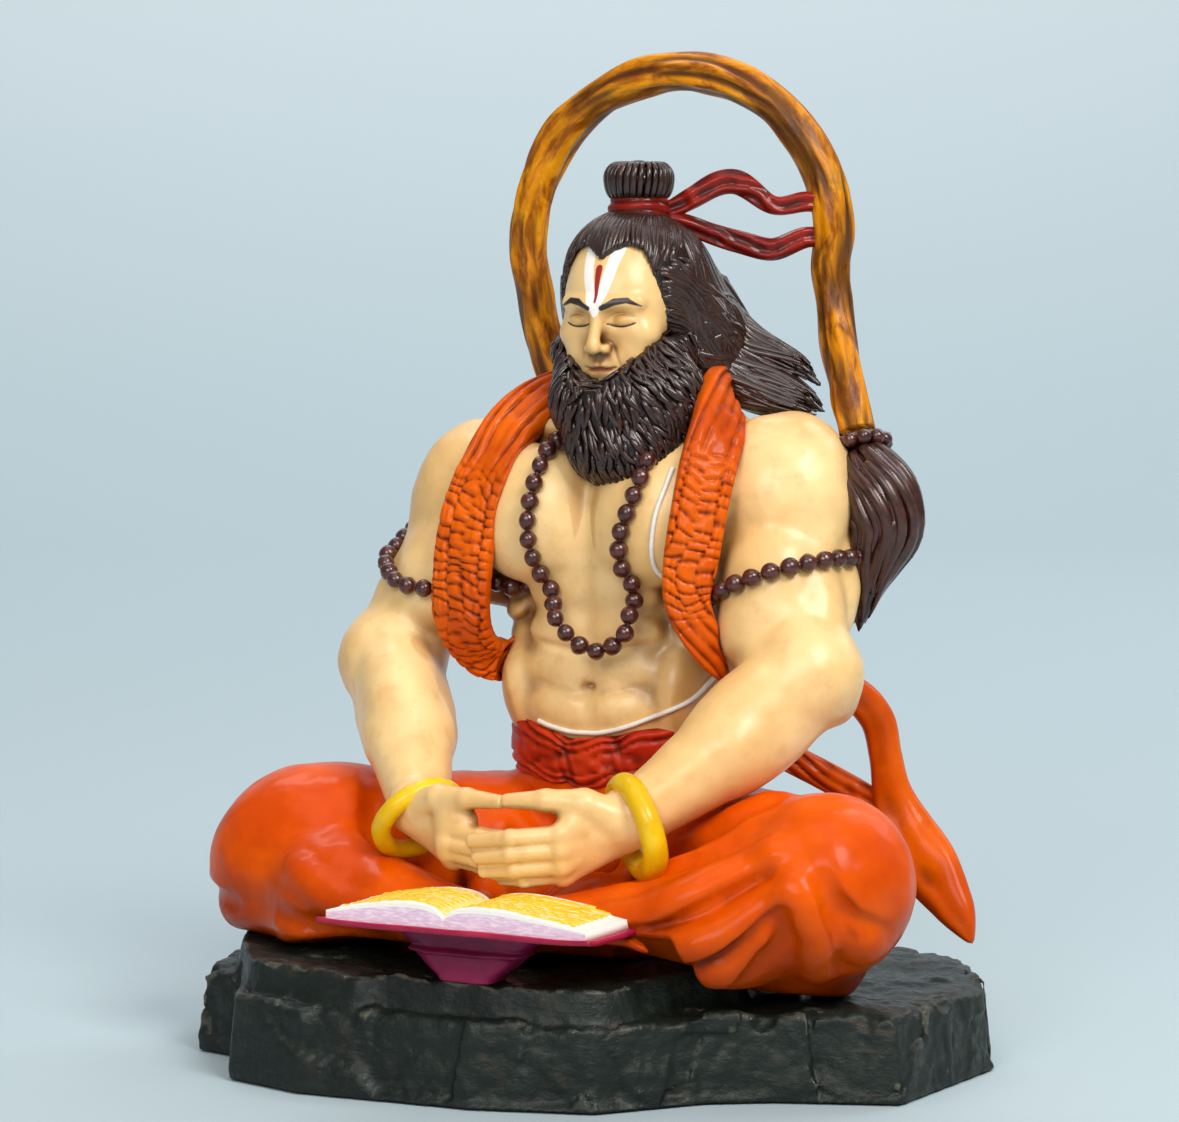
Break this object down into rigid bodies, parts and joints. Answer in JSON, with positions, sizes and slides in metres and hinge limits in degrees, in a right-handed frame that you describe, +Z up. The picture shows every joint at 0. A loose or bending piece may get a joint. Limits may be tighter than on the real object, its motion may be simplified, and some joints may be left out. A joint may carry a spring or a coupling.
{
  "type": "deity statue",
  "caption": "Painted figurine of a muscular bearded deity seated cross-legged in meditation before an open book, tail arched over the head, on a low faceted rock base.",
  "frame": {"origin": "the surface it stands on, under the middle of the base's bounding box", "axes": "+Z up; the figure faces -Y; +X is the figure's own left"},
  "size_m": [0.099, 0.076, 0.127],
  "materials": {
    "rock": "dark green-grey cast resin rock, dry-brushed along its chipped edges",
    "pad": "thin black foam",
    "skin": "satin hand-painted resin, airbrushed brown in the creases",
    "dhoti": "satin orange paint over resin",
    "sash": "satin red paint over resin",
    "shawl": "orange-red paint with darker folds",
    "ribbon": "glossy red paint",
    "hair": "glossy dark brown paint",
    "tail": "ochre paint with brown streaks",
    "beads": "glossy maroon-brown paint",
    "bangle": "glossy yellow paint",
    "thread": "white paint",
    "cover": "crimson paint",
    "pages": "cream paint with yellow lines and pale lilac edges",
    "stand": "magenta paint",
    "steel": "plain steel dowel"
  },
  "bodies": {
    "root": {"base_rock": "rock", "base_pad": "pad", "lap": "dhoti", "leg_right": "dhoti", "leg_left": "dhoti", "dhoti_hem": "dhoti", "waist_sash": "sash", "torso": "skin", "arm_right": "skin", "arm_left": "skin", "hand_right": "skin", "hand_left": "skin", "head": "skin", "hair": "hair", "beard": "hair", "swept_hair": "hair", "topknot": "hair", "topknot_band": "ribbon", "ribbon_upper": "ribbon", "ribbon_lower": "ribbon", "tail": "tail", "tail_beads": "beads", "tail_tuft": "hair", "shawl_collar": "shawl", "shawl_right": "shawl", "shawl_left": "shawl", "shawl_end": "shawl", "shawl_fold": "shawl", "necklace": "beads", "armband_right": "beads", "armband_left": "beads", "bangle_right": "bangle", "bangle_left": "bangle", "sacred_thread": "thread", "book_cover": "cover", "book_pages": "pages", "book_stand": "stand", "dowels": "steel"}
  },
  "joints": []
}
